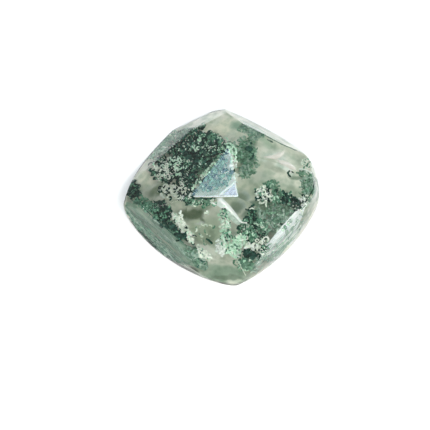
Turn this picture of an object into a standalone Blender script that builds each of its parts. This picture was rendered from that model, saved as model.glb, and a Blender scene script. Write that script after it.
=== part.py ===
"""Moss agate: one hand-cut, faceted cushion stone, as one closed solid with a flat back.

The outline is a cushion: four bowed sides that meet in small rounded corners. The crown is a
triangular table with seven wide facets around it. Below them each side, and three of the four
corners, has one steeper facet. +X, +Y, -X and -Y are the right, back, left and front sides, and
+Z points up out of the table. The work is in millimetres until the mesh is made.
"""

import math

import bmesh
import bpy
from mathutils import Vector

MM = 0.001

# Outline. Each side is an arc: the direction in which it stands furthest out (degrees,
# counterclockwise from +X), how far out that is from the middle, the radius of the arc, and the
# radius of the rounded corner that follows it.
SIDES = {
    "right": (354.0, 5.14, 9.2, 2.4),
    "back": (90.0, 4.96, 9.0, 0.8),
    "left": (183.0, 5.25, 8.7, 0.9),
    "front": (271.0, 4.93, 10.2, 0.9),
}
SIDE_STEPS = 20
CORNER_STEPS = 6
BACK_BEVEL = 0.12
BLANK_HEIGHT = 5.0

# Crown. Each facet is a plane: the direction that it falls towards, its slope from level, and
# the height at which it crosses the stone's upright axis.
CROWN_FACETS = {
    "table": (0.0, 0.0, 3.05),
    "back left kite": (145.0, 30.0, 3.99),
    "back main": (83.5, 23.4, 3.80),
    "left main": (181.0, 29.0, 3.40),
    "back right kite": (47.0, 13.0, 3.28),
    "right main": (346.0, 27.0, 4.30),
    "front right kite": (303.0, 26.0, 3.65),
    "front main": (265.0, 29.0, 4.12),
}

# Steep facets. Here the third value is how far from the upright axis the plane meets the back.
STEEP_FACETS = {
    "front side": (261.5, 63.0, 5.07),
    "front right corner": (299.0, 54.5, 5.49),
    "right side": (354.0, 76.0, 5.23),
    "back right corner": (46.0, 78.0, 5.84),
    "back side": (95.5, 62.0, 5.08),
    "back left corner": (153.0, 51.0, 5.36),
    "left side": (175.0, 44.5, 5.27),
}

MERGE_DISTANCE = 0.001
SHARP_ANGLE = math.radians(9.0)
STONE_COLOUR = (0.42, 0.47, 0.35, 1.0)
STONE_ROUGHNESS = 0.12
STONE_IOR = 1.54


def clear_scene():
    for obj in list(bpy.data.objects):
        bpy.data.objects.remove(obj, do_unlink=True)


def direction(azimuth):
    angle = math.radians(azimuth)
    return Vector((math.cos(angle), math.sin(angle)))


def azimuth_of(vector):
    return math.degrees(math.atan2(vector.y, vector.x))


def arc_centre(side):
    """The centre of a side's arc, which lies across the stone from that side."""
    azimuth, reach, radius, _ = side
    return direction(azimuth) * (reach - radius)


def corner_centre(side, next_side):
    """The centre of the rounding that touches both sides' arcs from within."""
    first, second = arc_centre(side), arc_centre(next_side)
    first_radius = side[2] - side[3]
    second_radius = next_side[2] - side[3]
    apart = (second - first).length
    along = (second - first) / apart
    distance = (apart**2 + first_radius**2 - second_radius**2) / (2.0 * apart)
    offset = math.sqrt(first_radius**2 - distance**2)
    across = Vector((along.y, -along.x))
    crossings = [first + along * distance + across * offset * way for way in (-1.0, 1.0)]
    outward = direction(side[0]) + direction(next_side[0])
    return max(crossings, key=outward.dot)


def arc_points(centre, radius, start, end, steps):
    """Points along an arc, counterclockwise, without its last one."""
    turn = (end - start) % 360.0
    return [centre + direction(start + turn * step / steps) * radius for step in range(steps)]


def outline_points(inset):
    """The cushion outline, or one that lies inside it by the inset."""
    sides = list(SIDES.values())
    points = []
    for index, side in enumerate(sides):
        before = sides[index - 1]
        after = sides[(index + 1) % len(sides)]
        centre = arc_centre(side)
        start = azimuth_of(corner_centre(before, side) - centre)
        end = azimuth_of(corner_centre(side, after) - centre)
        points += arc_points(centre, side[2] - inset, start, end, SIDE_STEPS)
        corner = corner_centre(side, after)
        corner_end = azimuth_of(corner - arc_centre(after))
        points += arc_points(corner, side[3] - inset, end, corner_end, CORNER_STEPS)
    return points


def stone_blank():
    """An upright block of the cushion outline, with a small bevel round its back."""
    bm = bmesh.new()
    rings = []
    for inset, height in ((BACK_BEVEL, 0.0), (0.0, BACK_BEVEL), (0.0, BLANK_HEIGHT)):
        rings.append([bm.verts.new((point.x, point.y, height)) for point in outline_points(inset)])
    bm.faces.new(reversed(rings[0]))
    bm.faces.new(rings[-1])
    for lower, upper in zip(rings, rings[1:]):
        for index in range(len(lower)):
            after = (index + 1) % len(lower)
            bm.faces.new((lower[index], lower[after], upper[after], upper[index]))
    return bm


def facet_normal(azimuth, slope):
    level = direction(azimuth) * math.sin(math.radians(slope))
    return Vector((level.x, level.y, math.cos(math.radians(slope))))


def cut_facet(bm, point, normal):
    """Takes away all that lies outside a plane and closes the stone with one flat facet."""
    everything = bm.verts[:] + bm.edges[:] + bm.faces[:]
    cut = bmesh.ops.bisect_plane(bm, geom=everything, plane_co=point, plane_no=normal, clear_outer=True)
    edges = [item for item in cut["geom_cut"] if isinstance(item, bmesh.types.BMEdge)]
    bmesh.ops.holes_fill(bm, edges=edges, sides=0)


def cut_facets(bm):
    for azimuth, slope, height in CROWN_FACETS.values():
        cut_facet(bm, Vector((0.0, 0.0, height)), facet_normal(azimuth, slope))
    for azimuth, slope, reach in STEEP_FACETS.values():
        foot = direction(azimuth) * reach
        cut_facet(bm, Vector((foot.x, foot.y, 0.0)), facet_normal(azimuth, slope))


def centre_over_origin(bm):
    """Moves the stone so that the middle of its box stands over the origin."""
    for axis in (0, 1):
        values = [vert.co[axis] for vert in bm.verts]
        middle = (min(values) + max(values)) / 2.0
        for vert in bm.verts:
            vert.co[axis] -= middle


def stone_mesh():
    bm = stone_blank()
    cut_facets(bm)
    bmesh.ops.remove_doubles(bm, verts=bm.verts, dist=MERGE_DISTANCE)
    centre_over_origin(bm)
    bmesh.ops.recalc_face_normals(bm, faces=bm.faces)
    bmesh.ops.scale(bm, vec=(MM, MM, MM), verts=bm.verts)
    for face in bm.faces:
        face.smooth = True
    mesh = bpy.data.meshes.new("stone")
    bm.to_mesh(mesh)
    bm.free()
    mesh.set_sharp_from_angle(angle=SHARP_ANGLE)
    return mesh


def agate_material():
    material = bpy.data.materials.new("agate")
    material.use_nodes = True
    shader = material.node_tree.nodes["Principled BSDF"]
    shader.inputs["Base Color"].default_value = STONE_COLOUR
    shader.inputs["Roughness"].default_value = STONE_ROUGHNESS
    shader.inputs["Metallic"].default_value = 0.0
    shader.inputs["IOR"].default_value = STONE_IOR
    return material


def build():
    clear_scene()
    stone = bpy.data.objects.new("stone", stone_mesh())
    stone.data.materials.append(agate_material())
    bpy.context.scene.collection.objects.link(stone)


build()
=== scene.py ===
import math
import random
from typing import NamedTuple

import bmesh
import bpy
from mathutils import Matrix, Vector
from mathutils.bvhtree import BVHTree
from mathutils.geometry import intersect_line_plane


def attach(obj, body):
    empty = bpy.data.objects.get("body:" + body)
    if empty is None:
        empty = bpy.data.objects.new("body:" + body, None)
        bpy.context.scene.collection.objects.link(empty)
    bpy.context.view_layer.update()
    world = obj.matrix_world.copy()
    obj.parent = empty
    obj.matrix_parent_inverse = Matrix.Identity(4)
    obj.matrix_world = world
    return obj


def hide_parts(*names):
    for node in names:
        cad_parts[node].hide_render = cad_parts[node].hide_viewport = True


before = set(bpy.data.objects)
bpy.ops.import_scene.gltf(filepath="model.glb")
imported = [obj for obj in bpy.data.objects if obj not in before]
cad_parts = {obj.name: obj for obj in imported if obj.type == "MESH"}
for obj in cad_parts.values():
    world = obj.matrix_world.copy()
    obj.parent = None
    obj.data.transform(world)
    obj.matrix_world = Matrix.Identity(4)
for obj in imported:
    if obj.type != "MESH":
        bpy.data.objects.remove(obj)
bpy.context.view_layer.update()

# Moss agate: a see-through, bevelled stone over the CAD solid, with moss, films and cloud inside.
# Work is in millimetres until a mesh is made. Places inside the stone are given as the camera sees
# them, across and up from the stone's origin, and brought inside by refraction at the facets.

MM = 0.001
PICTURE_PIXELS = 430
PIXELS_PER_MM = 17.08

# The camera: a long lens high over the stone's front right corner, rolled a little.
CAMERA_AZIMUTH = 320.8
CAMERA_ELEVATION = 66.0
CAMERA_ROLL = 14.7
CAMERA_DISTANCE = 260.0
SENSOR_WIDTH = 36.0
CLIP_START_METRES = 0.01

# Where the stone's origin shows in the picture.
ORIGIN_PIXEL_X = 222.6
ORIGIN_PIXEL_Y = 197.8

AGATE_IOR = 1.54

# The worn bevel, on each edge that bends more and lies higher than the least.
BEVEL_WIDTH = 0.03
BEVEL_SEGMENTS = 2
BEVEL_PROFILE = 0.6
BEVEL_LEAST_ANGLE = math.radians(9.0)
BEVEL_LEAST_HEIGHT = 0.5

# What counts as one point and as one flat facet where the CAD mesh is joined into facets.
WELD_DISTANCE = 0.0005
FLAT_ANGLE = math.radians(0.5)


def direction(azimuth, elevation):
    """The unit vector at these angles, in degrees from +X and from level."""
    turn = math.radians(azimuth)
    lift = math.radians(elevation)
    return Vector((math.cos(turn) * math.cos(lift), math.sin(turn) * math.cos(lift), math.sin(lift)))


def camera_axes():
    """The camera's right, up and backward directions."""
    back = direction(CAMERA_AZIMUTH, CAMERA_ELEVATION)
    level_right = Vector((0.0, 0.0, 1.0)).cross(back).normalized()
    level_up = back.cross(level_right)
    roll = math.radians(CAMERA_ROLL)
    right = level_right * math.cos(roll) - level_up * math.sin(roll)
    up = level_right * math.sin(roll) + level_up * math.cos(roll)
    return right, up, back


RIGHT, UP, BACK = camera_axes()


def picture_middle():
    """The point in millimetres, in the plane through the origin, at the middle of the picture."""
    half = PICTURE_PIXELS / 2.0
    across = (half - ORIGIN_PIXEL_X) / PIXELS_PER_MM
    up = (ORIGIN_PIXEL_Y - half) / PIXELS_PER_MM
    return RIGHT * across + UP * up


CAMERA_PLACE = picture_middle() + BACK * CAMERA_DISTANCE


def add_object(name, data):
    """A new object in the scene."""
    made = bpy.data.objects.new(name, data)
    bpy.context.scene.collection.objects.link(made)
    return made


def add_camera():
    data = bpy.data.cameras.new("camera")
    data.sensor_width = SENSOR_WIDTH
    data.lens = SENSOR_WIDTH * CAMERA_DISTANCE * PIXELS_PER_MM / PICTURE_PIXELS
    data.clip_start = CLIP_START_METRES
    camera = add_object("camera", data)
    turn = Matrix((RIGHT, UP, BACK)).transposed().to_4x4()
    camera.matrix_world = Matrix.Translation(CAMERA_PLACE * MM) @ turn
    bpy.context.scene.camera = camera


# Light and stage

# In metres.
FLOOR_REACH = 20.0
FLOOR_GAP = 0.00002

PAPER_GREY = (0.76, 0.76, 0.76)
PAPER_ROUGHNESS = 0.9
PAPER_GLOSS = 0.1

# The sine of the elevation where the world's white ends and where its grey begins.
HORIZON_START = 0.005
HORIZON_END = 0.03
OVERHEAD_GREY = (0.4, 0.4, 0.4)
WHITE = (1.0, 1.0, 1.0)


class Panel(NamedTuple):
    """A square soft light: its place in degrees and metres, its side in metres, and how it shines."""

    azimuth: float
    elevation: float
    distance: float
    size: float
    radiance: float
    colour: tuple


# A full-size studio: two panels that the table and its rim mirror, and three that fill.
PANELS = {
    "table_panel": Panel(140.8, 66.0, 3.0, 0.92, 5.6, (0.52, 0.82, 1.0)),
    "overhead_panel": Panel(236.0, 82.0, 3.0, 0.52, 18.0, WHITE),
    "front_panel": Panel(335.0, 34.0, 4.0, 3.2, 7.0, (1.0, 0.99, 0.97)),
    "right_panel": Panel(45.0, 32.0, 4.0, 2.8, 4.5, WHITE),
    "left_panel": Panel(205.0, 35.0, 4.0, 2.4, 4.5, WHITE),
}


def add_panel(name, panel):
    """A panel that faces the stone, with the brightness that its face shows."""
    data = bpy.data.lights.new(name, "AREA")
    data.shape = "SQUARE"
    data.size = panel.size
    data.energy = panel.radiance * math.pi * panel.size ** 2
    data.color = panel.colour
    light = add_object(name, data)
    toward = direction(panel.azimuth, panel.elevation)
    turn = toward.to_track_quat("Z", "Y").to_matrix().to_4x4()
    light.matrix_world = Matrix.Translation(toward * panel.distance) @ turn


def add_lights():
    for name, panel in PANELS.items():
        add_panel(name, panel)


def add_world():
    """Pale grey overhead, and white at and under the horizon, where the paper would run on."""
    world = bpy.data.worlds.new("studio")
    world.use_nodes = True
    tree = world.node_tree
    place = tree.nodes.new("ShaderNodeTexCoord")
    parts = tree.nodes.new("ShaderNodeSeparateXYZ")
    tree.links.new(place.outputs["Generated"], parts.inputs["Vector"])
    fade = add_ramp(tree, parts.outputs["Z"], [(HORIZON_START, WHITE), (HORIZON_END, OVERHEAD_GREY)])
    background = tree.nodes["Background"]
    tree.links.new(fade, background.inputs["Color"])
    bpy.context.scene.world = world
    bpy.context.scene.view_settings.view_transform = "Standard"


def add_floor():
    mesh = bpy.data.meshes.new("floor")
    corners = [
        (-FLOOR_REACH, -FLOOR_REACH, 0.0), (FLOOR_REACH, -FLOOR_REACH, 0.0),
        (FLOOR_REACH, FLOOR_REACH, 0.0), (-FLOOR_REACH, FLOOR_REACH, 0.0),
    ]
    mesh.from_pydata(corners, [], [(0, 1, 2, 3)])
    floor = add_object("floor", mesh)
    floor.location.z = -FLOOR_GAP
    material, shader, _ = new_material("paper")
    shader.inputs["Base Color"].default_value = (*PAPER_GREY, 1.0)
    shader.inputs["Roughness"].default_value = PAPER_ROUGHNESS
    shader.inputs["Specular IOR Level"].default_value = PAPER_GLOSS
    mesh.materials.append(material)


# Materials

# The scales of noise, here and below, are in features per metre.
AGATE_TINT = (0.98, 0.99, 0.97)
AGATE_ROUGHNESS = (0.12, 0.20)
WEAR_SCALE = 900.0
WEAR_DETAIL = 3.0
ABSORPTION_COLOUR = (0.56, 0.80, 0.52)
ABSORPTION_DENSITY = 60.0

# Moss, flakes and films are dull, because they lie in the agate.
INNER_ROUGHNESS = 0.7
INNER_GLOSS = 0.0
MOSS_SCALE = 5200.0
MOSS_DETAIL = 2.0
MOSS_DARK_END = 0.35
MOSS_LIGHT_END = 0.65

# The places of a colour Mix node's sockets.
MIX_FACTOR = 0
MIX_FIRST = 6
MIX_SECOND = 7
MIX_RESULT = 2


def new_material(name):
    material = bpy.data.materials.new(name)
    material.use_nodes = True
    tree = material.node_tree
    return material, tree.nodes["Principled BSDF"], tree


def stone_place(tree):
    """Each shaded point's place in the stone."""
    return tree.nodes.new("ShaderNodeTexCoord").outputs["Object"]


def add_noise(tree, place, scale, detail, roughness=0.5):
    noise = tree.nodes.new("ShaderNodeTexNoise")
    noise.inputs["Scale"].default_value = scale
    noise.inputs["Detail"].default_value = detail
    noise.inputs["Roughness"].default_value = roughness
    tree.links.new(place, noise.inputs["Vector"])
    return noise


def add_ramp(tree, value, stops):
    """A colour that follows the value through these stops, each a position and a colour."""
    ramp = tree.nodes.new("ShaderNodeValToRGB")
    elements = ramp.color_ramp.elements
    while len(elements) < len(stops):
        elements.new(0.5)
    for element, (position, colour) in zip(elements, stops):
        element.position = position
        element.color = (*colour, 1.0)
    tree.links.new(value, ramp.inputs["Fac"])
    return ramp.outputs["Color"]


def multiplied(tree, first, second):
    """The product of two colours."""
    mix = tree.nodes.new("ShaderNodeMix")
    mix.data_type = "RGBA"
    mix.blend_type = "MULTIPLY"
    mix.inputs[MIX_FACTOR].default_value = 1.0
    tree.links.new(first, mix.inputs[MIX_FIRST])
    tree.links.new(second, mix.inputs[MIX_SECOND])
    return mix.outputs[MIX_RESULT]


def set_surface(tree, shader, colour, roughness, gloss):
    """Gives the shader a linked colour, and how rough and how shiny it is."""
    tree.links.new(colour, shader.inputs["Base Color"])
    shader.inputs["Roughness"].default_value = roughness
    shader.inputs["Specular IOR Level"].default_value = gloss


def agate_material():
    """Clear greenish agate, a little rough, that darkens with depth."""
    material, shader, tree = new_material("agate")
    shader.inputs["Transmission Weight"].default_value = 1.0
    shader.inputs["IOR"].default_value = AGATE_IOR
    shader.inputs["Base Color"].default_value = (*AGATE_TINT, 1.0)
    wear = add_noise(tree, stone_place(tree), WEAR_SCALE, WEAR_DETAIL)
    rough = tree.nodes.new("ShaderNodeMapRange")
    rough.inputs["To Min"].default_value = AGATE_ROUGHNESS[0]
    rough.inputs["To Max"].default_value = AGATE_ROUGHNESS[1]
    tree.links.new(wear.outputs["Fac"], rough.inputs["Value"])
    tree.links.new(rough.outputs["Result"], shader.inputs["Roughness"])
    absorption = tree.nodes.new("ShaderNodeVolumeAbsorption")
    absorption.inputs["Color"].default_value = (*ABSORPTION_COLOUR, 1.0)
    absorption.inputs["Density"].default_value = ABSORPTION_DENSITY
    output = tree.nodes["Material Output"]
    tree.links.new(absorption.outputs["Volume"], output.inputs["Volume"])
    return material


def moss_material(name, dark, light):
    """An opaque mineral colour that wanders between two tones."""
    material, shader, tree = new_material(name)
    noise = add_noise(tree, stone_place(tree), MOSS_SCALE, MOSS_DETAIL)
    colour = add_ramp(tree, noise.outputs["Fac"], [(MOSS_DARK_END, dark), (MOSS_LIGHT_END, light)])
    set_surface(tree, shader, colour, INNER_ROUGHNESS, INNER_GLOSS)
    return material


# Looking into the stone

# How near the stone's faces a point may be placed, in mm.
WALL_MARGIN = 0.06

# How far past a facet the ray that looks for the far wall starts, in mm.
RAY_START = 0.01

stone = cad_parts["stone"]


def tree_of(node):
    """The node's faces in millimetres, ready for rays."""
    points = [vert.co / MM for vert in node.data.vertices]
    faces = [tuple(face.vertices) for face in node.data.polygons]
    return BVHTree.FromPolygons(points, faces)


STONE_TREE = tree_of(stone)


def refracted(ray, normal, ratio):
    """The direction of a ray after it enters the stone."""
    cosine = -ray.dot(normal)
    inner = math.sqrt(1.0 - ratio * ratio * (1.0 - cosine * cosine))
    return (ray * ratio + normal * (ratio * cosine - inner)).normalized()


def entry(across, up):
    """Where the camera's ray at this place in the picture meets the stone, and its way inside."""
    aim = RIGHT * across + UP * up
    ray = (aim - CAMERA_PLACE).normalized()
    hit, normal, _, _ = STONE_TREE.ray_cast(CAMERA_PLACE, ray)
    if hit is None:
        return None
    return hit, refracted(ray, normal, 1.0 / AGATE_IOR)


def seen_at(across, up, depth):
    """The point at this depth inside the stone that shows at this place in the picture."""
    found = entry(across, up)
    if found is None:
        return None
    hit, inward = found
    far, _, _, room = STONE_TREE.ray_cast(hit + inward * RAY_START, inward)
    if far is None:
        return None
    return hit + inward * max(WALL_MARGIN, min(depth, room - WALL_MARGIN))


def seen_on_level(across, up, height):
    """The point at this height inside the stone that shows at this place in the picture."""
    hit, inward = entry(across, up)
    return intersect_line_plane(hit, hit + inward, Vector((0.0, 0.0, height)), Vector((0.0, 0.0, 1.0)))


# The least agate over a thread, in mm, and how often a thread that is too near is pushed inwards.
SKIN = 0.015
PUSHES = 3


def clearance(point):
    """How far inside the stone's nearest face the point is, and that face's normal."""
    nearest, normal, _, _ = STONE_TREE.find_nearest(point)
    return (nearest - point).dot(normal), normal


def kept_inside(point, radius):
    """The point moved inwards until a ball of this radius fits there, and the radius that fits."""
    for _ in range(PUSHES):
        room, normal = clearance(point)
        if room >= radius + SKIN:
            return point, radius
        point = point - normal * (radius + SKIN - room)
    room, _ = clearance(point)
    return point, max(0.0, min(radius, room - SKIN))


# Moss and grains

class Clump:
    """Many small closed shapes that make one mesh."""

    SIDES = 5

    def __init__(self):
        self.points = []
        self.faces = []

    def add_tube(self, path, radii):
        """A closed tube along the path, with its ends drawn to points."""
        count = len(path)
        first = len(self.points)
        kept = [kept_inside(point, radius) for point, radius in zip(path, radii)]
        path = [point for point, _ in kept]
        for index, (point, radius) in enumerate(kept):
            along = path[min(index + 1, count - 1)] - path[max(index - 1, 0)]
            side = along.cross(BACK).normalized()
            lift = side.cross(along).normalized()
            for step in range(self.SIDES):
                angle = 2.0 * math.pi * step / self.SIDES
                self.points.append(point + (side * math.cos(angle) + lift * math.sin(angle)) * radius)
        for ring in range(count - 1):
            for step in range(self.SIDES):
                here = first + ring * self.SIDES + step
                beside = first + ring * self.SIDES + (step + 1) % self.SIDES
                self.faces.append((here, beside, beside + self.SIDES, here + self.SIDES))
        last = first + (count - 1) * self.SIDES
        self.faces.append(tuple(first + step for step in reversed(range(self.SIDES))))
        self.faces.append(tuple(last + step for step in range(self.SIDES)))

    def add_slab(self, upper, lower):
        """A closed slab between two outlines with the same number of points."""
        first = len(self.points)
        count = len(upper)
        self.points += upper + lower
        self.faces.append(tuple(range(first, first + count)))
        self.faces.append(tuple(reversed(range(first + count, first + 2 * count))))
        for step in range(count):
            after = (step + 1) % count
            self.faces.append((first + step, first + count + step, first + count + after, first + after))

    def make(self, name, material):
        mesh = bpy.data.meshes.new(name)
        mesh.from_pydata([point * MM for point in self.points], [], self.faces)
        mesh.shade_smooth()
        mesh.materials.append(material)
        piece = add_object(name, mesh)
        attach(piece, "root")
        return piece


# A thread's fewest points and longest gap, and how much it wanders, in mm and radians.
LEAST_POINTS = 3
BREAK_LENGTH = 0.16
BEND_CHANGE = 0.12
DEPTH_CHANGE = 0.02
LUMPINESS = 0.3
POINTED_END = 0.6

# A half would fill each patch evenly, and more crowds it towards its middle.
CROWDING = 0.6


class Kind(NamedTuple):
    """What a kind of thread or grain is like, in mm and, for the bend of each step, in radians."""

    clump: str
    steps: tuple
    radii: tuple
    step: float
    bends: tuple


KINDS = {
    "backing": Kind("backing", (3, 4), (0.110, 0.190), 0.06, (0.2, 0.9)),
    "haze": Kind("haze", (3, 4), (0.110, 0.190), 0.06, (0.2, 0.9)),
    "dark": Kind("dark", (4, 8), (0.034, 0.064), 0.055, (0.3, 0.8)),
    "green": Kind("green", (4, 7), (0.030, 0.056), 0.055, (0.3, 0.8)),
    "green blob": Kind("green", (3, 4), (0.070, 0.120), 0.05, (0.2, 0.9)),
    "teal": Kind("teal", (4, 7), (0.036, 0.066), 0.055, (0.3, 0.8)),
    "mist": Kind("mist", (4, 9), (0.034, 0.075), 0.06, (0.1, 0.5)),
    "wisp": Kind("haze", (4, 9), (0.030, 0.070), 0.06, (0.1, 0.5)),
    "dark dot": Kind("dark", (3, 3), (0.045, 0.075), 0.035, (0.0, 0.5)),
    "curl": Kind("pale", (5, 9), (0.038, 0.060), 0.06, (0.4, 0.8)),
    "mint curl": Kind("mint", (5, 9), (0.038, 0.058), 0.06, (0.4, 0.8)),
    "mint dot": Kind("mint", (3, 3), (0.036, 0.060), 0.035, (0.0, 0.5)),
    "pale dot": Kind("pale", (3, 3), (0.036, 0.060), 0.035, (0.0, 0.5)),
    "white dot": Kind("white", (3, 3), (0.040, 0.066), 0.035, (0.0, 0.5)),
    "mint blob": Kind("mint", (3, 4), (0.062, 0.115), 0.05, (0.2, 0.9)),
    "pale blob": Kind("pale", (3, 4), (0.062, 0.115), 0.05, (0.2, 0.9)),
    "white blob": Kind("white", (3, 4), (0.070, 0.120), 0.05, (0.2, 0.9)),
}


def curled_route(chance, across, up, kind):
    """A walk over the picture whose bend changes slowly."""
    heading = chance.uniform(0.0, 2.0 * math.pi)
    bend = chance.choice((-1.0, 1.0)) * chance.uniform(*kind.bends)
    route = []
    for _ in range(chance.randint(*kind.steps)):
        route.append((across, up))
        heading += bend
        bend += chance.uniform(-BEND_CHANGE, BEND_CHANGE)
        across += math.cos(heading) * kind.step
        up += math.sin(heading) * kind.step
    return route


def add_thread(clump, chance, route, depth, radius):
    """Brings a route over the picture into the stone, as one lumpy closed thread."""
    path = []
    for across, up in route:
        point = seen_at(across, up, depth + chance.uniform(-DEPTH_CHANGE, DEPTH_CHANGE))
        if point is None or (path and (point - path[-1]).length > BREAK_LENGTH):
            break
        path.append(point)
    if len(path) < LEAST_POINTS:
        return
    radii = [radius * chance.uniform(1.0 - LUMPINESS, 1.0 + LUMPINESS) for _ in path]
    radii[0] *= POINTED_END
    radii[-1] *= POINTED_END
    clump.add_tube(path, radii)


class Patch(NamedTuple):
    """An ellipse in the picture, in mm and degrees, the depths under its facet, and its threads."""

    across: float
    up: float
    half_length: float
    half_width: float
    turn: float
    nearest: float
    furthest: float
    counts: dict


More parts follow.
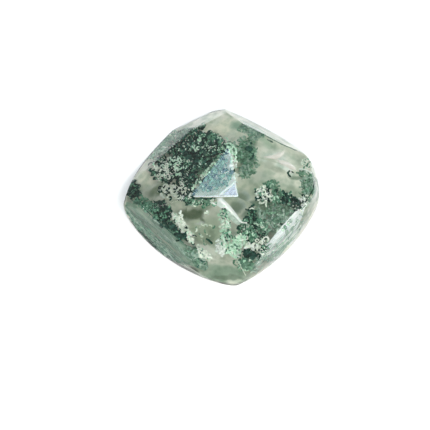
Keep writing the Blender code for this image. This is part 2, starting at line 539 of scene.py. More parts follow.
PATCHES = {
    "main backing": Patch(-1.50, 2.80, 1.58, 1.05, 20, 0.55, 0.95, {"backing": 210}),
    "lower backing": Patch(-2.26, 1.04, 0.88, 0.88, 0, 0.5, 0.9, {"backing": 90}),
    "left backing": Patch(-3.37, 1.69, 0.82, 0.70, 0, 0.5, 0.9, {"backing": 60, "haze": 16}),
    "main texture": Patch(-1.56, 2.86, 1.41, 0.88, 15, 0.12, 0.5,
        {"dark": 130, "teal": 120, "green": 50, "mint dot": 20}),
    "main specks": Patch(-2.08, 2.68, 1.29, 0.76, 15, 0.06, 0.14,
        {"mint dot": 34, "pale dot": 16, "green": 18, "mint curl": 4, "dark": 10}),
    "main grains": Patch(-0.80, 3.27, 0.70, 0.64, -30, 0.06, 0.12,
        {"mint dot": 26, "white dot": 5, "green": 14, "mint curl": 2}),
    "middle": Patch(-1.79, 2.04, 0.88, 0.47, 10, 0.1, 0.4,
        {"dark": 60, "teal": 40, "green": 24, "curl": 6, "mint dot": 26, "mint curl": 5}),
    "left curls": Patch(-3.43, 1.69, 0.76, 0.64, 0, 0.08, 0.3,
        {"dark": 56, "green": 26, "curl": 38, "mint curl": 14, "pale dot": 30, "pale blob": 12}),
    "mint heart": Patch(-2.67, 1.86, 0.29, 0.64, 10, 0.06, 0.2,
        {"mint blob": 22, "dark": 14, "mint dot": 30, "dark dot": 8, "mint curl": 4}),
    "pale curls": Patch(-2.79, 0.28, 1.00, 0.41, -8, 0.08, 0.3,
        {"dark": 46, "pale blob": 44, "curl": 20, "white dot": 14, "white blob": 5}),
    "lower core": Patch(-2.08, 1.04, 0.47, 0.53, 0, 0.1, 0.4,
        {"dark": 50, "teal": 30, "green": 20, "curl": 6, "mint dot": 22, "mint curl": 4, "pale dot": 8}),
    "right end curls": Patch(-0.04, 3.09, 0.70, 0.35, -15, 0.08, 0.4,
        {"dark": 30, "green": 26, "mint curl": 11, "mint dot": 10}),
    "row under the table": Patch(-1.32, -0.25, 1.00, 0.20, 0, 0.08, 0.3,
        {"dark": 16, "green": 26, "haze": 12, "mint dot": 30, "curl": 6}),
    "veil haze": Patch(-3.37, 3.21, 1.05, 0.47, 35, 0.4, 0.9,
        {"haze": 60, "wisp": 60, "green": 40, "curl": 8, "mint curl": 8, "pale dot": 26}),
    "veil near": Patch(-3.49, 3.15, 1.23, 0.38, 42, 0.06, 0.14,
        {"mist": 70, "wisp": 50, "green": 20, "curl": 4, "pale dot": 16, "mint dot": 12}),
    "veil streaks": Patch(-2.96, 2.80, 0.59, 0.18, -5, 0.2, 0.5, {"dark": 24, "green": 16}),
    "veil top": Patch(-1.91, 3.97, 0.88, 0.23, 20, 0.3, 0.8,
        {"haze": 30, "backing": 14, "green": 30, "dark": 16}),
    "lower left backing": Patch(-3.61, -0.89, 0.53, 0.70, 15, 0.5, 0.9, {"backing": 70}),
    "lower left dark": Patch(-3.61, -0.89, 0.53, 0.64, 15, 0.1, 0.6,
        {"dark": 90, "green": 34, "pale dot": 6, "curl": 2}),
    "lower left tail": Patch(-2.85, -1.83, 1.00, 0.19, -42, 0.1, 0.5,
        {"dark": 60, "backing": 20, "green": 20}),
    "lower left cream": Patch(-2.32, -1.71, 1.11, 0.25, -56, 0.06, 0.25,
        {"pale blob": 66, "curl": 12, "mint blob": 14, "white dot": 20, "dark": 12}),
    "cream grains": Patch(-2.49, -1.01, 0.18, 0.35, 0, 0.05, 0.12, {"white blob": 7}),
    "lower left cream end": Patch(-1.15, -3.29, 0.59, 0.23, -42, 0.06, 0.3,
        {"pale blob": 44, "white dot": 12, "curl": 5, "green": 6}),
    "left corner backing": Patch(-5.25, 0.46, 0.38, 0.53, 20, 0.5, 0.8, {"backing": 30}),
    "left corner": Patch(-5.25, 0.46, 0.41, 0.53, 20, 0.1, 0.5, {"dark": 60, "green": 18, "mint dot": 4}),
    "left corner skirt": Patch(-4.37, -0.54, 0.94, 0.26, -35, 0.07, 0.13,
        {"green": 60, "dark": 14, "mint dot": 10}),
    "skirt haze": Patch(-4.37, -0.48, 0.88, 0.29, -32, 0.4, 0.8, {"haze": 50}),
    "lower right neck": Patch(1.69, -0.89, 0.20, 0.35, 0, 0.1, 0.4, {"dark": 34, "green": 8}),
    "lower right backing": Patch(1.84, -1.94, 0.88, 0.82, 0, 0.6, 1.0, {"haze": 90, "backing": 26}),
    "lower right body": Patch(1.78, -1.89, 0.76, 0.76, 0, 0.1, 0.6,
        {"green": 110, "dark": 40, "mint dot": 70, "mint curl": 10, "curl": 5}),
    "lower right core": Patch(1.60, -3.23, 0.38, 0.32, 0, 0.08, 0.3, {"backing": 10, "dark": 44}),
    "lower right ring": Patch(1.60, -2.76, 0.47, 0.20, 0, 0.06, 0.2,
        {"white blob": 12, "pale blob": 10, "curl": 4}),
    "lower right pale": Patch(2.31, -2.88, 0.35, 0.53, 0, 0.06, 0.3,
        {"curl": 12, "pale blob": 12, "dark": 22, "white dot": 12, "green": 14}),
    "lobe": Patch(1.02, -2.47, 0.41, 0.41, 0, 0.06, 0.4, {"mint blob": 66, "pale blob": 10, "green": 8}),
    "lobe foot": Patch(0.73, -3.06, 0.32, 0.53, 0, 0.06, 0.4,
        {"mint blob": 44, "curl": 5, "green": 12, "white dot": 12}),
    "column": Patch(0.14, -1.83, 0.29, 1.41, 5, 0.06, 0.4,
        {"mint blob": 96, "pale blob": 30, "green": 24, "white dot": 6}),
    "column spots": Patch(0.08, -1.07, 0.18, 0.53, 5, 0.05, 0.1, {"dark dot": 5, "green blob": 5}),
    "column spot low": Patch(0.26, -2.24, 0.13, 0.26, 0, 0.05, 0.1, {"dark dot": 9, "green": 3}),
    "foot": Patch(1.31, -3.82, 0.53, 0.47, 45, 0.2, 0.7,
        {"haze": 14, "wisp": 16, "green": 24, "mint dot": 24, "mint blob": 10}),
    "right grey": Patch(2.37, 0.16, 0.47, 0.47, 0, 0.08, 0.4,
        {"dark": 40, "curl": 16, "white blob": 16, "pale blob": 22, "white dot": 14, "green": 12}),
    "right top green": Patch(2.83, 0.69, 0.47, 0.29, 0, 0.3, 0.8,
        {"green": 26, "haze": 8, "wisp": 14, "mint curl": 4, "mint dot": 14}),
    "right middle": Patch(3.19, 0.11, 0.35, 0.41, 0, 0.1, 0.5,
        {"green": 30, "haze": 14, "mint dot": 14, "dark": 10, "mint curl": 2}),
    "right dark": Patch(3.77, -0.01, 0.41, 0.32, 0, 0.1, 0.5,
        {"backing": 9, "dark": 44, "green": 18, "pale dot": 8, "mint dot": 5}),
    "right dark tail": Patch(4.36, -0.42, 0.23, 0.35, 30, 0.08, 0.4,
        {"dark": 34, "white dot": 8, "curl": 3}),
    "right end": Patch(4.71, -0.13, 0.26, 0.18, 20, 0.06, 0.3, {"white blob": 6, "dark": 8, "curl": 2}),
    "right lower haze": Patch(3.30, -0.83, 1.11, 0.47, 5, 0.6, 1.2, {"haze": 16, "wisp": 50, "mist": 50}),
    "right lower": Patch(3.48, -1.36, 0.94, 0.53, 15, 0.3, 1.0,
        {"wisp": 50, "mist": 50, "green": 16, "dark": 6, "mint dot": 34, "mint curl": 7, "curl": 4}),
    "deep green": Patch(1.25, 2.80, 0.70, 0.70, 0, 0.7, 1.2,
        {"haze": 20, "wisp": 50, "mist": 40, "green": 8}),
    "deep dark": Patch(1.66, 2.68, 0.23, 0.47, 0, 0.6, 1.0, {"backing": 14, "haze": 8, "wisp": 14}),
    "deep tail": Patch(1.49, 1.80, 0.53, 0.59, -20, 0.7, 1.2, {"haze": 8, "wisp": 34, "mist": 40}),
    "table blobs": Patch(0.61, 2.15, 0.23, 0.53, 10, 0.05, 0.15, {"white blob": 16, "mint blob": 8}),
    "table column": Patch(0.78, 1.22, 0.12, 0.41, 0, 0.05, 0.12, {"white dot": 16, "pale dot": 6}),
    "table top mint": Patch(0.37, 2.86, 0.41, 0.35, 0, 0.06, 0.3, {"mint curl": 6, "mint dot": 12}),
    "white blob": Patch(-0.15, -2.94, 0.27, 0.50, 22, 0.1, 0.4, {"white blob": 46}),
    "under the table": Patch(-0.56, 1.45, 1.11, 1.11, 0, 0.35, 0.8,
        {"haze": 80, "backing": 40, "green": 40, "mint dot": 14, "pale dot": 14}),
    "table left edge": Patch(-1.15, 1.28, 1.11, 0.14, 50, 0.05, 0.2,
        {"mint dot": 44, "pale dot": 16, "mint blob": 8}),
    "front streaks": Patch(-1.15, -2.12, 0.88, 0.76, 0, 0.5, 1.4, {"curl": 6, "green": 6, "pale dot": 6}),
    "bubble rings": Patch(4.82, 1.98, 0.35, 0.29, -50, 0.1, 0.3, {"pale dot": 14, "green": 10, "curl": 2}),
    "tip shade": Patch(5.00, 0.69, 0.41, 0.70, -8, 0.3, 0.8, {"mist": 60, "wisp": 30, "haze": 10}),
    "tip smear": Patch(4.71, 1.33, 0.29, 0.18, -20, 0.4, 0.8, {"wisp": 10}),
    "back haze": Patch(1.72, 3.91, 0.82, 0.29, -30, 0.5, 1.0, {"mist": 50, "wisp": 24}),
    "band end": Patch(-1.50, -3.52, 0.70, 0.41, -38, 0.1, 0.2, {"teal": 10, "wisp": 16, "mist": 20}),
    "veil rim": Patch(-4.07, 2.97, 0.76, 0.23, 50, 0.06, 0.2,
        {"mist": 50, "wisp": 34, "green": 8, "pale dot": 8, "dark": 6}),
    "right band mist": Patch(3.95, -2.24, 1.76, 0.23, 50, 0.1, 0.25,
        {"mist": 16, "pale dot": 8, "white dot": 8}),
    "right band low": Patch(2.31, -3.76, 0.76, 0.35, 42, 0.2, 0.6, {"mist": 34, "wisp": 4}),
    "lone grain": Patch(-0.85, -0.83, 0.12, 0.14, 0, 0.3, 0.5, {"pale blob": 5, "white dot": 3}),
}


def place_in_patch(chance, patch):
    """A random place in the patch's ellipse, closer together towards its middle."""
    reach = chance.uniform(0.0, 1.0) ** CROWDING
    angle = chance.uniform(0.0, 2.0 * math.pi)
    along = reach * math.cos(angle) * patch.half_length
    beside = reach * math.sin(angle) * patch.half_width
    cosine = math.cos(math.radians(patch.turn))
    sine = math.sin(math.radians(patch.turn))
    return patch.across + along * cosine - beside * sine, patch.up + along * sine + beside * cosine


class Line(NamedTuple):
    """A single line or mark, in mm, and the places in the picture that it runs through."""

    clump: str
    depth: float
    radius: float
    places: list


LINES = {
    # The four ridge lines are painted shade: dark threads just under the ridges that stand in for the dark
    # that the stone's inside reflects there.
    "back ridge": Line("teal", 0.05, 0.024, [(1.02, 4.50), (2.13, 3.85), (3.54, 3.09), (4.59, 2.68)]),
    "back right ridge": Line("teal", 0.05, 0.024, [(4.71, 2.62), (5.18, 2.04), (5.47, 1.45)]),
    "right ridge": Line("dark", 0.05, 0.03, [(5.47, 1.16), (5.29, 0.46), (4.82, -0.30)]),
    "front ridge": Line("teal", 0.06, 0.024, [
        (-5.36, -0.13), (-4.78, -0.42), (-4.43, -0.77), (-3.67, -1.48), (-2.85, -2.18), (-2.26, -2.65),
    ]),
    "row shadow": Line("dark", 0.04, 0.03, [(-1.79, -0.05), (-1.15, -0.04), (-0.39, -0.02)]),
    "lens mark": Line("dark", 0.2, 0.06, [(-0.88, -2.41), (-0.74, -2.53), (-0.59, -2.70)]),
    "lens mark tip": Line("backing", 0.2, 0.06, [(-0.97, -2.38), (-0.85, -2.47), (-0.74, -2.59)]),
    "hook mark": Line("dark", 0.12, 0.055, [(3.95, 1.60), (3.83, 1.48), (3.86, 1.36), (4.00, 1.22)]),
    "hook mark side": Line("dark", 0.12, 0.035, [(4.03, 1.57), (4.15, 1.45)]),
    "dash mark": Line("backing", 0.12, 0.045, [(2.60, 3.41), (2.78, 3.33), (2.95, 3.24)]),
    "back band dot": Line("dark", 0.05, 0.04, [(1.41, 4.70), (1.44, 4.67), (1.46, 4.64)]),
    "arc over the table": Line("mint", 0.05, 0.06, [
        (0.14, 3.15), (0.37, 3.21), (0.61, 3.09), (0.78, 2.86), (0.81, 2.56),
    ]),
    "second arc": Line("mint", 0.05, 0.045, [(0.20, 2.92), (0.40, 2.92), (0.55, 2.80), (0.58, 2.56)]),
    "left of the strip": Line("white", 0.06, 0.06, [(-0.74, -0.25), (-0.56, -0.30), (-0.39, -0.42)]),
    "strip end": Line("white", 0.06, 0.045, [(1.08, -1.45), (1.25, -1.46), (1.43, -1.45)]),
    "neck cap": Line("pale", 0.05, 0.045, [(1.57, -0.66), (1.72, -0.60), (1.87, -0.66)]),
    "bubble ring": Line("pale", 0.05, 0.035, [
        (4.71, 2.21), (4.82, 2.30), (4.97, 2.21), (4.94, 2.04), (4.80, 1.98), (4.71, 2.13),
    ]),
    "lower bubble ring": Line("pale", 0.05, 0.03, [
        (5.06, 1.86), (5.18, 1.89), (5.23, 1.74), (5.12, 1.69), (5.06, 1.80),
    ]),
    "right white seam": Line("white", 0.08, 0.055, [(4.47, 1.69), (4.77, 1.66), (5.06, 1.54), (5.35, 1.39)]),
    "right dark seam": Line("haze", 0.1, 0.045, [(4.53, 1.45), (4.82, 1.36), (5.06, 1.33)]),
    "corner facet line": Line("pale", 0.06, 0.024, [
        (0.67, -3.29), (0.90, -3.70), (1.14, -4.17), (1.37, -4.58),
    ]),
}


LINE_STEP = 0.06


def line_route(places):
    """Places along straight stretches, about one step apart."""
    route = []
    for (across, up), (next_across, next_up) in zip(places, places[1:]):
        length = math.hypot(next_across - across, next_up - up)
        count = max(1, round(length / LINE_STEP))
        for step in range(count):
            part = step / count
            route.append((across + (next_across - across) * part, up + (next_up - up) * part))
    route.append(places[-1])
    return route


def add_lines(clumps):
    for name, line in LINES.items():
        route = line_route(line.places)
        add_thread(clumps[line.clump], random.Random(name), route, line.depth, line.radius)


# Flakes

FLAKE_THICKNESS = 0.02


class Flake(NamedTuple):
    """A flat flake of a healed seam, a fold, a film or a painted highlight along a worn edge, with its
    outline in the picture.
    """

    tone: str
    depth: float
    outline: list


FLAKES = {
    "strip": Flake("seam", 0.06, [
        (-0.36, -0.01), (-0.04, 0.00), (0.20, -0.22), (0.49, -0.53), (0.78, -0.89), (1.02, -1.22),
        (1.19, -1.46), (1.02, -1.43), (0.73, -1.14), (0.43, -0.82), (0.20, -0.64), (-0.09, -0.61),
        (-0.37, -0.42), (-0.28, -0.22),
    ]),
    "strip side": Flake("pale_seam", 0.1, [
        (0.20, -0.63), (0.49, -0.83), (0.84, -1.21), (1.14, -1.48), (0.90, -1.59), (0.61, -1.42),
        (0.37, -1.12), (0.23, -0.83),
    ]),
    "streak": Flake("seam", 0.06, [
        (-0.21, 0.15), (0.02, 0.43), (0.32, 0.63), (0.67, 0.94), (0.71, 0.84), (0.37, 0.55),
        (0.11, 0.34), (-0.06, 0.15),
    ]),
    "lilac triangle": Flake("lilac", 0.1, [(-0.01, 0.16), (0.20, 0.37), (0.70, 0.81), (0.87, 0.16)]),
    "upper fold": Flake("fold", 0.6, [
        (2.34, 2.41), (2.66, 2.45), (3.07, 2.53), (3.36, 2.65), (3.62, 2.77), (3.57, 2.56),
        (3.36, 2.36), (3.07, 2.26), (2.72, 2.31),
    ]),
    "lower fold": Flake("fold", 0.6, [
        (3.13, 2.24), (3.48, 2.21), (3.83, 2.10), (4.12, 1.89), (4.36, 1.59), (4.06, 1.66),
        (3.71, 1.83), (3.36, 2.01),
    ]),
    "front band end": Flake("teal_film", 0.25, [
        (-2.26, -2.68), (-1.91, -2.88), (-1.44, -3.11), (-1.09, -3.41), (-0.88, -3.76), (-0.83, -4.11),
        (-1.03, -4.29), (-1.50, -4.11), (-1.97, -3.91), (-2.11, -3.29),
    ]),
    # Painted highlight: the two white strips just under the table's bottom and right edges stand in for the
    # light that the worn bevel there reflects.
    "table rim": Flake("painted_rim_highlight", 0.06, [
        (-1.82, 0.14), (-1.03, 0.11), (-0.04, 0.12), (0.88, 0.15), (0.89, 0.06), (-0.04, 0.05),
        (-1.03, 0.04), (-1.76, 0.05),
    ]),
    "table right rim": Flake("painted_rim_highlight", 0.06, [(0.66, 0.87), (0.73, 0.88), (0.91, 0.09), (0.83, 0.09)]),
}

# Each flake tone's darker and lighter colour.
FLAKE_TONES = {
    "seam": ((0.84, 0.94, 0.88), (0.99, 1.0, 0.99)),
    # The white tone of the painted rim highlight under the table's worn edges.
    "painted_rim_highlight": ((0.90, 0.93, 0.94), (0.99, 0.99, 1.0)),
    "lilac": ((0.46, 0.48, 0.58), (0.68, 0.70, 0.78)),
    "pale_seam": ((0.46, 0.58, 0.49), (0.70, 0.80, 0.72)),
    "fold": ((0.92, 0.86, 0.80), (1.0, 0.95, 0.92)),
    "teal_film": ((0.10, 0.22, 0.155), (0.30, 0.41, 0.31)),
}


def add_flake(clump, flake):
    upper = [seen_at(across, up, flake.depth) for across, up in flake.outline]
    lower = [seen_at(across, up, flake.depth + FLAKE_THICKNESS) for across, up in flake.outline]
    clump.add_slab(upper, lower)


def add_flakes():
    """Adds one piece for each tone, with all the flakes of that tone."""
    for tone, (dark, light) in FLAKE_TONES.items():
        clump = Clump()
        for flake in FLAKES.values():
            if flake.tone == tone:
                add_flake(clump, flake)
        clump.make(tone, moss_material(tone, dark, light))


# Growing the moss

# Each clump's darker and lighter colour.
CLUMP_TONES = {
    "backing": ((0.010, 0.058, 0.040), (0.040, 0.130, 0.095)),
    "haze": ((0.10, 0.23, 0.15), (0.26, 0.46, 0.32)),
    "dark": ((0.003, 0.026, 0.017), (0.014, 0.082, 0.056)),
    "teal": ((0.020, 0.090, 0.064), (0.065, 0.200, 0.150)),
    "green": ((0.07, 0.21, 0.13), (0.22, 0.48, 0.32)),
    "mist": ((0.22, 0.37, 0.29), (0.46, 0.60, 0.50)),
    "mint": ((0.56, 0.86, 0.64), (0.84, 1.0, 0.88)),
    "pale": ((0.72, 0.82, 0.70), (0.96, 0.99, 0.90)),
    "white": ((0.80, 0.88, 0.81), (0.97, 1.0, 0.96)),
}


def grow_moss():
    """Fills every patch, adds the lines and the strands, and makes one piece of each clump."""
    clumps = {name: Clump() for name in CLUMP_TONES}
    for name, patch in PATCHES.items():
        chance = random.Random(name)
        for kind_name, count in patch.counts.items():
            kind = KINDS[kind_name]
            for _ in range(count):
                across, up = place_in_patch(chance, patch)
                depth = chance.uniform(patch.nearest, patch.furthest)
                route = curled_route(chance, across, up, kind)
                add_thread(clumps[kind.clump], chance, route, depth, chance.uniform(*kind.radii))
    add_lines(clumps)
    add_strands(clumps)
    # The dark, teal and backing moss pieces also hold painted shade: the ridge lines and the strands along
    # the front facet's foot.
    for name, (dark, light) in CLUMP_TONES.items():
        clumps[name].make("moss_" + name, moss_material("moss_" + name, dark, light))


# Level strands of mineral and a film behind them, under two of the steep facets, with painted shade along
# the front facet's foot

# In mm. The wave is the most that a strand rises or falls at a step, besides its lean.
STRAND_STEP = 0.1
STRAND_DEPTHS = (0.07, 0.15)
STRAND_POINTS = (4, 13)
STRAND_RADII = (0.022, 0.045)
STRAND_WAVE = 0.025
# The heights in mm of the dark strands of painted shade along the foot, and those over which the film's
# painted shade at the foot fades out.
FOOT_HEIGHTS = (0.07, 0.26)
FOOT_SHADE = (0.15, 0.50)

FILM_THICKNESS = 0.03
FILM_ROUNDINGS = 3
CORNER_CUT = 0.25
STREAK_SCALE = 1500.0
STREAK_LENGTH = 4.0
STREAK_DETAIL = 5.0
STREAK_BREAKUP = 0.6


class Side(NamedTuple):
    """A steep facet, the strands of each clump under it and the dark strands of painted shade at its foot,
    and the film behind them with the painted shade at its foot.
    """

    azimuth: float
    slope: float
    strands: dict
    foot_shade_strands: dict
    film_depth: float
    film_share: float
    film_tones: list
    painted_foot_shade: tuple


SIDES = {
    "front_side": Side(
        azimuth=261.5,
        slope=63.0,
        strands={"haze": 70, "green": 34, "teal": 24, "mist": 90},
        # Painted shade: the dark strands at the foot and the dark foot tone are a painted contact shadow
        # along the base outline, where the stone meets the floor.
        foot_shade_strands={"backing": 60, "dark": 60},
        film_depth=0.28,
        film_share=1.0,
        film_tones=[(0.30, (0.06, 0.17, 0.115)), (0.50, (0.22, 0.34, 0.25)), (0.68, (0.54, 0.62, 0.48))],
        painted_foot_shade=(0.16, 0.18, 0.15),
    ),
    # The near-white film and the white strands here are partly a painted reflection of the white floor in
    # this steep facet, and partly pale mineral streaks.
    "right_side": Side(
        azimuth=354.0,
        slope=76.0,
        strands={"mist": 50, "white": 24, "haze": 10},
        foot_shade_strands={},
        film_depth=0.30,
        film_share=0.86,
        film_tones=[(0.34, (0.46, 0.57, 0.53)), (0.50, (0.82, 0.88, 0.89)), (0.62, (0.98, 1.0, 1.0))],
        painted_foot_shade=WHITE,
    ),
}


def facet_facing(azimuth, slope):
    """The corners and the normal of the stone's facet that faces this way."""
    wanted = direction(azimuth, 90.0 - slope)
    bm = flat_faced_stone()
    facet = max(bm.faces, key=lambda face: face.normal.dot(wanted))
    corners = [vert.co.copy() for vert in facet.verts]
    normal = facet.normal.copy()
    bm.free()
    return corners, normal


def place_on_facet(chance, corners):
    """A random place on a facet, as likely to be anywhere on it."""
    centre = sum(corners, Vector()) / len(corners)
    corner = chance.randrange(len(corners))
    edge = corners[corner].lerp(corners[corner - 1], chance.random())
    return centre.lerp(edge, math.sqrt(chance.random()))


def add_strand(clump, chance, corners, normal, at_foot):
    """A strand that runs level, close under the facet, anywhere on it or only along its foot, where the
    strands are dark painted shade.
    """
    level = Vector((-normal.y, normal.x, 0.0)).normalized()
    upward = normal.cross(level)
    lean = chance.uniform(-STRAND_WAVE, STRAND_WAVE)
    point = place_on_facet(chance, corners) - normal * chance.uniform(*STRAND_DEPTHS)
    if at_foot:
        point += upward * ((chance.uniform(*FOOT_HEIGHTS) - point.z) / upward.z)
    level *= chance.choice((-1.0, 1.0))
    path = []
    for _ in range(chance.randint(*STRAND_POINTS)):
        if clearance(point)[0] < WALL_MARGIN:
            break
        path.append(point)
        point = point + level * STRAND_STEP + upward * (lean + chance.uniform(-STRAND_WAVE, STRAND_WAVE))
    if len(path) < LEAST_POINTS:
        return
    radius = chance.uniform(*STRAND_RADII)
    radii = [radius * chance.uniform(1.0 - LUMPINESS, 1.0) for _ in path]
    radii[0] *= POINTED_END
    radii[-1] *= POINTED_END
    clump.add_tube(path, radii)


def add_strands(clumps):
    for name, side in SIDES.items():
        chance = random.Random(name)
        corners, normal = facet_facing(side.azimuth, side.slope)
        for counts, at_foot in ((side.strands, False), (side.foot_shade_strands, True)):
            for clump, count in counts.items():
                for _ in range(count):
                    add_strand(clumps[clump], chance, corners, normal, at_foot)


def film_material(name, side):
    """Smeared streaks that run level along the facet, multiplied at the foot by the side's painted shade."""
    material, shader, tree = new_material(name)
    place = stone_place(tree)
    level = tree.nodes.new("ShaderNodeMapping")
    level.vector_type = "TEXTURE"
    level.inputs["Rotation"].default_value = (0.0, 0.0, math.radians(side.azimuth))
    level.inputs["Scale"].default_value = (1.0, STREAK_LENGTH, 1.0)
    tree.links.new(place, level.inputs["Vector"])
    noise = add_noise(tree, level.outputs["Vector"], STREAK_SCALE, STREAK_DETAIL, STREAK_BREAKUP)
    streaks = add_ramp(tree, noise.outputs["Fac"], side.film_tones)
    parts = tree.nodes.new("ShaderNodeSeparateXYZ")
    tree.links.new(place, parts.inputs["Vector"])
    height = tree.nodes.new("ShaderNodeMath")
    height.operation = "DIVIDE"
    height.inputs[1].default_value = MM
    tree.links.new(parts.outputs["Z"], height.inputs[0])
    foot_shade_stops = [(FOOT_SHADE[0], side.painted_foot_shade), (FOOT_SHADE[1], WHITE)]
    foot = add_ramp(tree, height.outputs["Value"], foot_shade_stops)
    set_surface(tree, shader, multiplied(tree, streaks, foot), INNER_ROUGHNESS, INNER_GLOSS)
    return material


def over_base(point):
    """The point, or where it is too near the stone's flat base, the point just clear of it."""
    return Vector((point.x, point.y, max(point.z, WALL_MARGIN)))


def rounded(corners):
    """The outline with each corner cut off."""
    cut = []
    for corner, after in zip(corners, corners[1:] + corners[:1]):
        cut += [corner.lerp(after, CORNER_CUT), corner.lerp(after, 1.0 - CORNER_CUT)]
    return cut


def add_films():
    """Adds a thin rounded film behind the strands of each side."""
    for name, side in SIDES.items():
        corners, normal = facet_facing(side.azimuth, side.slope)
        centre = sum(corners, Vector()) / len(corners)
        corners = [centre.lerp(corner, side.film_share) for corner in corners]
        for _ in range(FILM_ROUNDINGS):
            corners = rounded(corners)
        outer = [over_base(corner - normal * side.film_depth) for corner in corners]
        inner = [over_base(corner - normal * (side.film_depth + FILM_THICKNESS)) for corner in corners]
        clump = Clump()
        clump.add_slab(outer, inner)
        clump.make(name + "_film", film_material(name + "_film", side))


# The cloudy bed close over the back

# In mm, and the pitches of its waves in radians per mm.
BED_LEVEL = 0.25
BED_BASE = 0.05
BED_RIM_LEVEL = 0.14
BED_RIM_SHARPNESS = 12
BED_GAP = 0.07
BED_TURNS = 96
BED_RINGS = 24
WAVE_COUNT = 5
WAVE_HEIGHT = 0.12
WAVE_PITCHES = (0.5, 1.4)

BED_ROUGHNESS = 0.8
BED_GLOSS = 0.2
BED_DETAIL = 4.0
BED_SCALE = 1100.0
SHADE_SCALE = 1700.0
WARP_SCALE = 700.0
WARP_DETAIL = 3.0
WARP_REACH = 1.4

# The shares of a zone's ellipse that it fills fully, and where it has faded out.
ZONE_FULL = 0.45
ZONE_END = 1.25

# Positions on the noise, with the colour of the bed and the shade that is laid over it.
BED_TONES = [(0.30, (0.56, 0.62, 0.50)), (0.50, (0.86, 0.86, 0.76)), (0.70, (1.0, 0.97, 0.90))]
BED_SHADE = [(0.34, (0.62, 0.70, 0.64)), (0.56, (1.0, 1.0, 1.0))]


class Zone(NamedTuple):
    """A soft ellipse of one tone on the bed, as the picture shows it, in mm and degrees."""

    across: float
    up: float
    half_length: float
    half_width: float
    turn: float
    tone: tuple


# A zone lies over those that come before it.
BED_ZONES = {
    "back middle": Zone(2.31, 3.27, 0.94, 0.35, -30, (0.6, 0.7, 0.57)),
    "upper right cream": Zone(3.07, 2.51, 1.52, 0.53, -20, (0.98, 0.96, 0.9)),
    "right cream": Zone(3.65, 1.16, 1.17, 0.70, -30, (1.0, 0.97, 0.89)),
    "fold shade": Zone(3.07, 1.80, 0.88, 0.29, -28, (0.66, 0.67, 0.58)),
    "fold shade end": Zone(4.18, 1.39, 0.35, 0.18, -28, (0.6, 0.63, 0.54)),
    "upper fold": Zone(2.83, 2.48, 0.70, 0.20, -6, (1.0, 1.0, 0.97)),
    "lower fold": Zone(3.77, 2.07, 0.76, 0.23, -28, (1.0, 1.0, 0.97)),
    "back left kite": Zone(-0.04, 4.09, 1.05, 0.70, 0, (0.95, 0.91, 0.78)),
    "right tip": Zone(5.00, 0.81, 0.41, 0.76, 0, (0.2, 0.28, 0.22)),
    "right tip smear": Zone(4.53, 1.28, 0.47, 0.18, -20, (0.34, 0.42, 0.33)),
    "back green": Zone(1.66, 3.91, 0.82, 0.41, -30, (0.34, 0.48, 0.37)),
    "left beige": Zone(-4.48, 1.10, 0.64, 0.70, 0, (0.96, 0.94, 0.8)),
    "left olive": Zone(-3.84, 0.34, 0.70, 0.41, 0, (0.34, 0.4, 0.28)),
    "front beige": Zone(-1.03, -2.00, 1.17, 1.17, 0, (0.62, 0.68, 0.54)),
    "front dim": Zone(-0.74, -2.24, 0.29, 0.53, 0, (0.42, 0.48, 0.36)),
    "front light": Zone(-0.91, -3.00, 1.05, 0.41, -10, (1.0, 1.0, 0.92)),
    "olive star": Zone(-1.67, -0.83, 0.70, 0.41, 0, (0.22, 0.27, 0.18)),
    "olive star point": Zone(-1.15, -1.24, 0.18, 0.35, 30, (0.25, 0.3, 0.21)),
    "grey smear": Zone(-1.32, -1.48, 0.35, 0.23, 0, (0.74, 0.76, 0.72)),
    # Painted reflection: a pale bluish spot beside the table.
    "reflection beside the table": Zone(1.25, 0.11, 0.41, 0.59, 0, (0.66, 0.72, 0.69)),
    "beside the strip": Zone(0.73, -0.60, 0.53, 0.59, 30, (0.34, 0.41, 0.32)),
    "light over the middle": Zone(2.01, 1.16, 0.70, 0.47, 30, (0.86, 0.88, 0.8)),
    "front corner": Zone(0.20, -4.40, 1.52, 0.76, 0, (0.42, 0.54, 0.42)),
    # Painted shade: a dark band along the front left base outline, where the stone meets the floor.
    "front left rim shade": Zone(-3.08, -3.47, 3.28, 0.35, -38, (0.12, 0.14, 0.11)),
    # Partly a painted reflection of the white floor: the bluish white band under the right steep facet.
    "right band": Zone(3.77, -2.65, 1.76, 0.47, 50, (0.96, 0.98, 1.0)),
    "middle shade": Zone(2.01, -0.48, 0.59, 0.47, 20, (0.3, 0.38, 0.3)),
    "front rim": Zone(0.20, -4.75, 1.41, 0.23, 0, (0.28, 0.36, 0.27)),
    "band end": Zone(-1.44, -3.64, 0.70, 0.47, -38, (0.1, 0.22, 0.17)),
    "right green": Zone(3.07, -0.83, 1.46, 0.53, 10, (0.3, 0.41, 0.3)),
    "right green low": Zone(3.54, -1.65, 1.05, 0.53, 20, (0.42, 0.54, 0.42)),
    "under the large moss": Zone(-1.79, 2.21, 1.76, 1.52, 0, (0.14, 0.24, 0.18)),
    "deep green": Zone(1.43, 2.80, 0.53, 0.70, 0, (0.16, 0.3, 0.2)),
    "deep tail": Zone(1.49, 1.63, 0.47, 0.64, 0, (0.3, 0.44, 0.32)),
}


def wall_reach(angle, height):
    """How far the stone's wall is from its upright axis."""
    outward = Vector((math.cos(angle), math.sin(angle), 0.0))
    _, _, _, reach = STONE_TREE.ray_cast(Vector((0.0, 0.0, height)), outward)
    return reach


def bed_wave(x, y, waves):
    """The height of the bed's gentle waves at a place, between -1 and 1."""
    heights = []
    for pitch, way, start in waves:
        along = x * math.cos(way) + y * math.sin(way)
        heights.append(math.sin(pitch * along + start))
    return sum(heights) / len(heights)


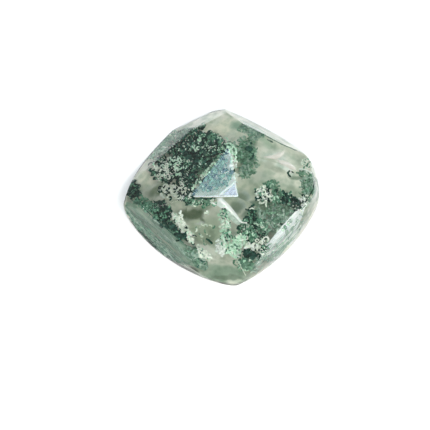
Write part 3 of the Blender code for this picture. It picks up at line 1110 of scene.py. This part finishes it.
def bed_points():
    """The rings of points of the gently waved top, thinner at its rim, and then those of the flat base."""
    chance = random.Random("bed")
    waves = [
        (chance.uniform(*WAVE_PITCHES), chance.uniform(0.0, math.tau), chance.uniform(0.0, math.tau))
        for _ in range(WAVE_COUNT)
    ]
    points = []
    for on_top in (True, False):
        for ring in range(BED_RINGS + 1):
            part = ring / BED_RINGS
            for step in range(BED_TURNS):
                angle = math.tau * step / BED_TURNS
                reach = min(wall_reach(angle, BED_BASE), wall_reach(angle, BED_RIM_LEVEL)) - BED_GAP
                x = math.cos(angle) * reach * part
                y = math.sin(angle) * reach * part
                height = BED_LEVEL + WAVE_HEIGHT * bed_wave(x, y, waves)
                height += (BED_RIM_LEVEL - height) * part ** BED_RIM_SHARPNESS
                points.append(Vector((x, y, height if on_top else BED_BASE)))
    return points


def bed_faces():
    """The faces between the rings, above and below, and those that close the rim."""
    faces = []
    layer = (BED_RINGS + 1) * BED_TURNS
    for offset, is_turned in ((0, False), (layer, True)):
        for ring in range(BED_RINGS):
            for step in range(BED_TURNS):
                after = (step + 1) % BED_TURNS
                inner = offset + ring * BED_TURNS
                outer = inner + BED_TURNS
                face = (inner + step, outer + step, outer + after, inner + after)
                faces.append(face[::-1] if is_turned else face)
    rim = BED_RINGS * BED_TURNS
    for step in range(BED_TURNS):
        after = (step + 1) % BED_TURNS
        faces.append((rim + step, layer + rim + step, layer + rim + after, rim + after))
    return faces


def picture_turn():
    """The turn, seen from above, from the stone's +X to the picture's right."""
    return math.degrees(math.atan2(RIGHT.y, RIGHT.x))


def vector_math(tree, operation, place, value):
    """A node that does this operation on a linked vector and a fixed one."""
    node = tree.nodes.new("ShaderNodeVectorMath")
    node.operation = operation
    node.inputs[1].default_value = value
    tree.links.new(place, node.inputs[0])
    return node


def wandering_place(tree):
    """Each point's place seen from above, shifted by noise so that the edges of the zones wander."""
    place = stone_place(tree)
    warp = add_noise(tree, place, WARP_SCALE, WARP_DETAIL)
    reach = WARP_REACH * MM
    shifted = vector_math(tree, "MULTIPLY_ADD", warp.outputs["Color"], (reach, reach, 0.0))
    tree.links.new(place, shifted.inputs[2])
    centred = vector_math(tree, "SUBTRACT", shifted.outputs["Vector"], (reach / 2.0, reach / 2.0, 0.0))
    flat = vector_math(tree, "MULTIPLY", centred.outputs["Vector"], (1.0, 1.0, 0.0))
    return flat.outputs["Vector"]


def add_zone(tree, colour, place, zone):
    """Mixes the zone's tone into the colour."""
    middle = seen_on_level(zone.across, zone.up, BED_LEVEL)
    mapping = tree.nodes.new("ShaderNodeMapping")
    mapping.vector_type = "TEXTURE"
    mapping.inputs["Location"].default_value = (middle.x * MM, middle.y * MM, 0.0)
    mapping.inputs["Rotation"].default_value = (0.0, 0.0, math.radians(zone.turn + picture_turn()))
    mapping.inputs["Scale"].default_value = (zone.half_length * MM, zone.half_width * MM, 1.0)
    tree.links.new(place, mapping.inputs["Vector"])
    length = tree.nodes.new("ShaderNodeVectorMath")
    length.operation = "LENGTH"
    tree.links.new(mapping.outputs["Vector"], length.inputs[0])
    soft = tree.nodes.new("ShaderNodeMapRange")
    soft.interpolation_type = "SMOOTHERSTEP"
    soft.inputs["From Min"].default_value = ZONE_FULL
    soft.inputs["From Max"].default_value = ZONE_END
    soft.inputs["To Min"].default_value = 1.0
    soft.inputs["To Max"].default_value = 0.0
    tree.links.new(length.outputs["Value"], soft.inputs["Value"])
    mix = tree.nodes.new("ShaderNodeMix")
    mix.data_type = "RGBA"
    tree.links.new(soft.outputs["Result"], mix.inputs[MIX_FACTOR])
    tree.links.new(colour, mix.inputs[MIX_FIRST])
    mix.inputs[MIX_SECOND].default_value = (*zone.tone, 1.0)
    return mix.outputs[MIX_RESULT]


def bed_material():
    """Cloudy mineral with its zones of tone, mottled all over."""
    material, shader, tree = new_material("cloud")
    place = wandering_place(tree)
    cloud = add_noise(tree, stone_place(tree), BED_SCALE, BED_DETAIL)
    colour = add_ramp(tree, cloud.outputs["Fac"], BED_TONES)
    for zone in BED_ZONES.values():
        colour = add_zone(tree, colour, place, zone)
    mottle = add_noise(tree, stone_place(tree), SHADE_SCALE, BED_DETAIL)
    shade = add_ramp(tree, mottle.outputs["Fac"], BED_SHADE)
    set_surface(tree, shader, multiplied(tree, colour, shade), BED_ROUGHNESS, BED_GLOSS)
    return material


def add_bed():
    clump = Clump()
    clump.points = bed_points()
    clump.faces = bed_faces()
    clump.make("cloud", bed_material())


# The stone's own surface

def flat_faced_stone():
    """The CAD stone in millimetres, with each flat facet as one face."""
    bm = bmesh.new()
    bm.from_mesh(stone.data)
    bmesh.ops.scale(bm, vec=(1.0 / MM,) * 3, verts=bm.verts)
    bmesh.ops.remove_doubles(bm, verts=bm.verts, dist=WELD_DISTANCE)
    bmesh.ops.dissolve_limit(bm, angle_limit=FLAT_ANGLE, verts=bm.verts, edges=bm.edges)
    return bm


def bevelled_copy():
    """The CAD stone with each crown edge worn to a narrow bevel."""
    bm = flat_faced_stone()
    worn = [edge for edge in bm.edges if is_worn(edge)]
    bmesh.ops.bevel(
        bm, geom=worn, affect="EDGES", clamp_overlap=False,
        offset=BEVEL_WIDTH, segments=BEVEL_SEGMENTS, profile=BEVEL_PROFILE,
    )
    bmesh.ops.recalc_face_normals(bm, faces=bm.faces)
    bmesh.ops.scale(bm, vec=(MM,) * 3, verts=bm.verts)
    mesh = bpy.data.meshes.new("agate")
    bm.to_mesh(mesh)
    bm.free()
    return mesh


def is_worn(edge):
    """Whether the edge is sharp enough, and lies high enough on the crown, to be worn."""
    if len(edge.link_faces) != 2 or edge.calc_face_angle() < BEVEL_LEAST_ANGLE:
        return False
    return min(vert.co.z for vert in edge.verts) > BEVEL_LEAST_HEIGHT


def add_shell():
    mesh = bevelled_copy()
    mesh.materials.append(agate_material())
    shell = add_object("agate", mesh)
    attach(shell, "root")
    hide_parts("stone")


add_camera()
add_lights()
add_world()
add_floor()
add_shell()
add_bed()
grow_moss()
add_flakes()
add_films()
